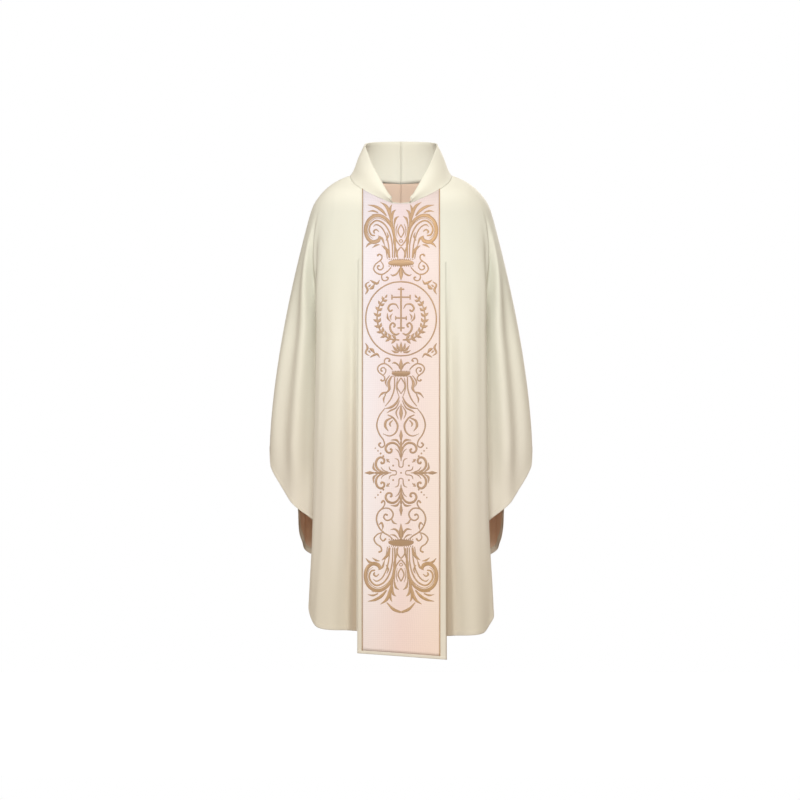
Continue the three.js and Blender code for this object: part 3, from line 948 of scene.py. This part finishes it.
def stroke(mesh, face, points, widths, side=1):
    """One line of satin stitch through points (x, drop) in millimetres, with widths spread along it."""
    points = np.array(points, float) * (side, 1)
    count = max(10, 7 * (len(points) - 1))
    along = 0.5 - 0.5 * np.cos(np.linspace(0, math.pi, count + 1))
    line = curve_through(points, along * (len(points) - 1))
    width = stroke_weight * np.interp(along, np.linspace(0, 1, len(widths)), widths)
    run = np.gradient(line, axis=0)
    run /= np.maximum(np.linalg.norm(run, axis=1, keepdims=True), 1e-9)
    travelled = np.concatenate([[0], np.linalg.norm(np.diff(line, axis=0), axis=1).cumsum()])
    for end in (travelled, travelled[-1] - travelled):
        blunt = np.maximum(width / 2, blunt_least)
        width = width * np.sqrt(np.clip(1 - (1 - np.clip(end / blunt, 0, 1)) ** 2, 0.02, 1))
    across = np.stack([-run[:, 1], run[:, 0]], axis=1)
    spread = np.linspace(-1, 1, 5)
    flat = line[:, None, :] + across[:, None, :] * (width[:, None] / 2 * spread)[..., None]
    rise = stroke_rise * (1 - spread**2)[None, :] * np.minimum(1, width / full_padding)[:, None] - stroke_sink
    place = on_panel(face, flat[..., 0] / 1000, flat[..., 1] / 1000, orphrey_lift + rise)
    grain = np.stack(np.broadcast_arrays(travelled[:, None] / 1000, spread[None, :]), axis=-1)
    if (face == "front") == (side > 0):
        place, grain = place[:, ::-1], grain[:, ::-1]
    add_grid(mesh, place, grain)


def pair(mesh, face, points, widths):
    """The same stroke on both sides of the middle."""
    for side in (1, -1):
        stroke(mesh, face, points, widths, side)


def set_at(at, points, grows=1):
    """Points given as (x, height from at), turned into (x, drop) for a motif that grows down or up."""
    return [(x, at + grows * height) for x, height in points]


def pairs(mesh, face, at, parts, grows=1):
    """Every stroke of a motif that stands at the drop at, on both sides of the middle."""
    for points, widths in parts:
        pair(mesh, face, set_at(at, points, grows), widths)


# Leaves that rise out of the crown and curl over into two great volutes.
acanthus = [
    ([(17, 8), (16, 50), (23, 90), (41, 114), (64, 122), (85, 110), (94, 86), (89, 63), (75, 51), (60, 55),
      (55, 67)],
     [3, 5, 6, 7, 8, 7.5, 7, 8, 9, 9, 5]),
    ([(22, 8), (24, 52), (33, 82), (47, 101), (65, 108), (79, 98), (84, 83), (78, 70), (68, 68)],
     [2.5, 3, 3.5, 3.5, 4, 4, 4, 4, 3]),
    ([(29, 8), (34, 48), (42, 74), (53, 91), (66, 97), (74, 91)], [2, 3, 3, 3, 3, 1]),
    ([(36, 6), (40, 32), (47, 52)], [2, 3, 0.5]),
    ([(20, 62), (27, 90), (43, 108), (64, 115), (81, 104), (89, 86), (84, 68), (74, 60)],
     [1, 1.6, 1.8, 1.8, 1.8, 1.8, 1.8, 1]),
    ([(44, 44), (50, 60), (61, 68)], [2, 5.5, 1]),
    ([(56, 44), (66, 42), (76, 35)], [1.5, 5, 1]),
    ([(70, 49), (84, 46), (93, 36)], [2, 5.5, 1]),
    ([(40, 54), (34, 66), (38, 78)], [1.5, 4, 1]),
    ([(58, 78), (66, 84), (72, 79), (69, 73)], [2, 3.5, 4, 3]),
    ([(10, 62), (13, 84), (8, 100)], [1, 2.6, 1]),
    ([(46, 118), (60, 124), (78, 124)], [1.5, 4, 1]),
    ([(22, 92), (29, 124), (39, 146), (55, 158)], [4, 8, 7, 1]),
    ([(38, 120), (52, 136), (69, 146), (88, 150)], [3, 7, 6, 1]),
    ([(60, 129), (74, 134), (88, 132)], [2.5, 4.5, 1]),
    ([(18, 98), (14, 113), (5, 120)], [3, 5.5, 1]),
    ([(23, 110), (21, 130), (13, 137)], [3, 6, 1]),
    ([(27, 124), (28, 142), (24, 151)], [3, 5, 1]),
    ([(17, 110), (18, 80), (13, 57), (5, 45), (0, 40)], [2, 3, 3, 3, 3]),
    ([(0, 98), (8, 79), (0, 62)], [2.5, 3.2, 2.5]),
    ([(0, 58), (4.5, 53.5), (0, 49)], [2, 2.2, 2]),
    ([(0, 38), (10, 24), (8, 6)], [2.5, 3.5, 2.5]),
    ([(31, 8), (34, 25), (42, 35), (52, 42)], [3, 6.5, 6, 0.5]),
    ([(12, 10), (12, 30), (19, 48), (20, 70)], [2, 3, 2.5, 1]),
]
# What hangs from the other side of the crown: a bud, two sprigs, and a scroll that curls twice.
tendrils = [
    ([(3, 14), (10, 28), (21, 34), (28, 31)], [2, 4, 4, 1]),
    ([(26, 12), (36, 23), (50, 31), (65, 27), (72, 16), (67, 4), (58, -3), (51, -10), (51, -19), (58, -22),
      (63, -17)],
     [2.5, 3, 3.4, 3.2, 3.2, 3, 3, 3, 3, 3.6, 5]),
    ([(55, -5), (48, 4), (47, 13), (54, 19), (61, 16), (61, 9), (56, 8)], [2, 2.6, 2.8, 2.8, 3, 3.4, 4.4]),
    ([(50, 31), (51, 40), (46, 47), (37, 46), (34, 40), (40, 38)], [2.5, 3, 3, 3, 3.2, 4.6]),
]


def crown(mesh, face, at, grows, half):
    """A band with a row of beads above it and below it, which binds the leaves and the bud."""
    scale = half / 34
    bow = [(-half, at - 2 * grows), (-0.6 * half, at), (0, at), (0.6 * half, at), (half, at - 2 * grows)]
    stroke(mesh, face, bow, [7 * scale, 13 * scale, 15 * scale, 13 * scale, 7 * scale])
    beads = 6
    for k in range(beads):
        x = half * (k + 0.5) / beads
        for height in (9, -9):
            pair(mesh, face, [(x - 1.6, at + height * scale), (x + 1.6, at + height * scale)], [3.4, 3.4])


def hanging_bud(mesh, face, at, grows, scale=1.0):
    bud = [(0, 8), (0, 30), (0, 47)]
    stroke(mesh, face, set_at(at, [(x, height * scale) for x, height in bud], -grows), [3, 10 * scale, 1])
    scaled = [([(x * scale, height * scale) for x, height in points], widths) for points, widths in tendrils]
    pairs(mesh, face, at, scaled, -grows)


def leaf_at(mesh, face, at, root, angle, length, width):
    """A pair of leaves from root, pointing at an angle from straight down, given round the drop at."""
    x, v = root
    tip = (x + length * math.sin(angle), v + length * math.cos(angle))
    middle = (x + 0.5 * (tip[0] - x) + 1.2 * math.cos(angle), v + 0.5 * (tip[1] - v) - 1.2 * math.sin(angle))
    pair(mesh, face, [(x, at + v), (middle[0], at + middle[1]), (tip[0], at + tip[1])], [1.2, width, 0.8])


def medallion(mesh, face, at):
    """A ring round a cross between two leafy boughs, with curls at its foot and a small palm leaf below."""
    ring = [(93 * math.sin(a), at - 98 * math.cos(a)) for a in np.linspace(-0.03, math.pi + 0.03, 13)]
    pair(mesh, face, ring, [3.2, 3.2])
    stroke(mesh, face, [(0, at - 84), (0, at - 30), (0, at + 34)], [4, 4, 4])
    for v, half in ((-78, 9), (-57, 25), (-2, 15), (24, 10)):
        stroke(mesh, face, [(-half, at + v), (half, at + v)], [3.6, 3.6])
    pair(mesh, face, [(24, at - 64), (24, at - 50)], [3.2, 3.2])
    pair(mesh, face, [(14, at - 8), (14, at + 4)], [3, 3])
    bough = np.array([(4, 56), (28, 53), (48, 40), (60, 18), (63, -8), (57, -34), (44, -54)], float)
    pair(mesh, face, set_at(at, bough), [3.6, 4, 3.6, 3, 2])
    for k in range(10):
        share = 0.35 + k * 0.59
        x, v = curve_through(bough, np.array([share]))[0]
        onward = curve_through(bough, np.array([share + 0.05]))[0] - (x, v)
        heading = math.atan2(onward[0], onward[1])
        leaf_at(mesh, face, at, (x, v), heading + 0.75, 18 - 0.5 * k, 7)
        leaf_at(mesh, face, at, (x, v), heading - 0.75, 17 - 0.5 * k, 6.5)
    leaf_at(mesh, face, at, (44, -54), math.radians(215), 13, 5)
    parts = [
        ([(4, 38), (14, 42), (25, 34), (29, 20), (23, 11), (16, 16), (20, 23)], [3, 4.6, 5, 4.6, 4, 4, 5.5]),
        ([(6, -26), (14, -38), (27, -38), (34, -28), (29, -20), (22, -24)], [1.5, 3.5, 4.4, 4.4, 4, 4.6]),
        ([(27, 8), (35, -2), (36, -16)], [1.5, 5, 1]),
        ([(22, -14), (28, -6), (26, 4)], [1, 4, 1]),
        ([(3, 86), (9, 75), (11, 64)], [2, 6, 1]),
        ([(5, 87), (15, 80), (23, 70)], [2, 6.5, 1]),
        ([(6, 89), (16, 88), (26, 83)], [2, 5.5, 1]),
    ]
    stroke(mesh, face, [(0, at + 90), (0, at + 76), (0, at + 61)], [2, 8, 1])
    pairs(mesh, face, at, parts)
    corner = [
        ([(56, 103), (63, 93), (72, 96), (82, 102)], [1, 5.5, 5.5, 1.5]),
        ([(70, 91), (76, 82), (84, 78)], [2, 8, 2]),
        ([(83, 98), (93, 90), (88, 76), (94, 64)], [1.5, 4, 5.5, 1.5]),
        ([(80, 90), (86, 84)], [2, 5]),
    ]
    for points, widths in corner:
        for grows in (1, -1):
            pair(mesh, face, set_at(at, points, grows), widths)


def small_cup(mesh, face, at):
    """The middle crown's leaves, which hang down and end in jagged tips."""
    leaves = [
        ([(0, 10), (11, 32), (0, 53)], [2.5, 3.2, 2]),
        ([(25, 6), (33, 24), (31, 40), (44, 56)], [3, 7, 6, 1]),
        ([(30, 4), (41, 22), (36, 36)], [2, 4, 1]),
        ([(36, 48), (50, 52), (60, 64)], [2, 5, 1]),
        ([(40, 54), (46, 66), (45, 78)], [2, 4, 1]),
        ([(17, 8), (18, 40), (27, 66), (42, 86)], [2.5, 3.2, 3.2, 2]),
        ([(9, 10), (12, 36), (5, 62)], [2, 2.6, 1.5]),
        ([(4, 60), (12, 76), (26, 88), (42, 92)], [2, 5, 6, 1.5]),
        ([(3, 70), (14, 90), (28, 97), (38, 104)], [1.5, 3.6, 4, 1]),
        ([(3, 84), (13, 102), (7, 120)], [1.5, 4, 1]),
    ]
    pairs(mesh, face, at, leaves)
    stroke(mesh, face, [(0, at + 78), (0, at + 104), (0, at + 124)], [1.5, 9, 1])


def fleury_arm(mesh, face, at, turn):
    """One arm of the great cross; turn takes a point along the arm to its place round the middle."""
    def put(points, widths):
        for side in (1, -1):
            stroke(mesh, face, [turn(side * a, b, at) for a, b in points], widths)
    put([(0, 14), (5, 17), (6, 28), (9, 35), (17, 38)], [2.4, 2.6, 2.6, 2.6, 1.6])
    put([(2, 56), (9, 72), (21, 79), (35, 75), (41, 64), (36, 54), (27, 54), (25, 61), (30, 63)],
        [3, 4.5, 5.5, 5.5, 5, 4.6, 4.6, 4.6, 5])
    put([(3, 74), (12, 86), (28, 86)], [2, 5.5, 1])
    put([(2, 40), (7, 56), (16, 64)], [1.5, 3, 1])
    stroke(mesh, face, [turn(0, 30, at), turn(0, 62, at), turn(0, 84, at)], [1.5, 7, 4])
    stroke(mesh, face, [turn(0, 82, at), turn(0, 98, at), turn(0, 114, at)], [2, 8.5, 1])


def great_cross(mesh, face, at):
    turns = [
        lambda a, b, m: (a, m - b),
        lambda a, b, m: (-a, m + b),
        lambda a, b, m: (0.84 * b, m + a),
        lambda a, b, m: (-0.84 * b, m - a),
    ]
    for turn in turns:
        fleury_arm(mesh, face, at, turn)
    stroke(mesh, face, [(-2.4, at), (2.4, at)], [4.8, 4.8])
    for end in (1, -1):
        for x, v, size in ((21, 19, 5), (47, 44, 5), (54, 51, 4.6), (61, 58, 4.2), (68, 65, 3.6)):
            pair(mesh, face, [(x - size / 2, at + end * v), (x + size / 2, at + end * v)], [size, size])
        pair(mesh, face, [(30, at + end * 27), (39, at + end * 36)], [2, 5])
        pair(mesh, face, [(31, at + end * 36), (38, at + end * 33)], [1, 3.4])
        pair(mesh, face, [(37, at + end * 27), (36, at + end * 35)], [1, 3.4])


def heart_scrolls(mesh, face, at):
    """Scrolls that round into a heart between the middle crown and the great cross."""
    parts = [
        ([(42, 8), (58, 30), (64, 54), (57, 78), (46, 94), (44, 107), (52, 112), (59, 105), (53, 99)],
         [2, 3, 3.4, 3.2, 3, 3, 3.2, 3.6, 4.8]),
        ([(36, 26), (21, 34), (9, 54), (15, 74), (30, 82), (48, 76)], [2.5, 4, 4.5, 3.6, 3, 1.2]),
        ([(24, 34), (39, 42), (42, 56), (33, 70)], [2.5, 5.5, 6, 1.2]),
        ([(22, 40), (30, 50), (27, 58)], [2, 4.5, 1.5]),
    ]
    pairs(mesh, face, at, parts)


def lower_scrolls(mesh, face):
    """Between the great cross and the last crown: open scrolls, and a spear with its leaves between them."""
    parts = [
        ([(53, 871), (47, 864), (43, 871), (47, 881), (60, 895), (65, 913), (58, 935), (46, 948), (30, 958),
          (22, 966)],
         [4.6, 3.4, 3, 3, 3.4, 3.6, 3.4, 3.2, 3, 2.4]),
        ([(56, 890), (44, 884), (30, 886), (21, 899), (26, 912), (38, 916), (46, 908), (42, 900), (35, 903)],
         [1.6, 3, 3.4, 3.6, 3.6, 3.4, 3.2, 3.6, 4.8]),
        ([(26, 911), (20, 922), (10, 926)], [2, 4.5, 1]),
        ([(60, 930), (52, 922), (48, 932), (50, 941)], [1, 4.5, 4, 1.5]),
        ([(48, 948), (61, 952), (71, 964), (66, 977), (54, 986), (52, 996), (60, 1000)],
         [2.4, 3, 3.2, 3.2, 3.2, 3.6, 4.8]),
        ([(52, 950), (55, 962), (47, 970), (40, 963)], [2, 3, 3.2, 4.4]),
        ([(3, 962), (8, 947), (17, 939), (29, 941)], [2, 5, 4.6, 1]),
        ([(6, 966), (18, 955), (30, 954)], [1.5, 4, 1]),
    ]
    pairs(mesh, face, 0, parts)
    stroke(mesh, face, [(0, 967), (0, 944), (0, 924)], [3, 10, 1])


# The drops of the motifs down the panel, in millimetres.
upper_crown, middle_crown, lower_crown = 237, 530, 975
medallion_middle, cross_middle, last_point = 385, 791, 1158
for face in ("front", "back"):
    mesh = bmesh.new()
    pairs(mesh, face, upper_crown - 4, acanthus, -1)
    crown(mesh, face, upper_crown, -1, 34)
    hanging_bud(mesh, face, upper_crown, -1)
    medallion(mesh, face, medallion_middle)
    hanging_bud(mesh, face, middle_crown, 1, 0.86)
    crown(mesh, face, middle_crown, 1, 25)
    small_cup(mesh, face, middle_crown)
    heart_scrolls(mesh, face, middle_crown + 82)
    great_cross(mesh, face, cross_middle)
    lower_scrolls(mesh, face)
    crown(mesh, face, lower_crown, 1, 34)
    pairs(mesh, face, lower_crown + 4, acanthus)
    pair(mesh, face, [(0, last_point), (20, last_point - 8), (38, last_point - 26)], [5, 7, 2])
    panel_piece(f"{face}_ornament", face, mesh, gilt)

# ---- Panel hem and lining ---------------------------------------------------------------------------------
# The band is turned up over the end of the satin as a narrow cream hem, and the part that hangs free is
# lined with the same satin as the body.
turned_hem_thickness = 0.001
turned_hem_lift = band_lift + 0.0012
backing_half = 0.108
backing_thickness = 0.0004
backing_lift = band_lift - 0.0018


def satin_end(face, x):
    return panel_bottom(face, x) - satin_short[face]


def tacking_end(face, x):
    return np.full_like(x, tack_drop + 0.001)


hem_strip = lay_panel("front", *band_edge["front"], turned_hem_lift, top=satin_end, rows=4)
turned_hem = panel_strip(
    "front_panel_turned_hem", "front", hem_strip,
    cream_cloth, turned_hem_thickness, ["front_panel_hem"],
)
backing_strip = lay_panel(
    "front", -backing_half, backing_half, backing_lift, satin_short["front"], tacking_end
)
backing = panel_strip(
    "front_panel_backing", "front", backing_strip,
    lining_satin, backing_thickness, ["front_panel_lining"],
)
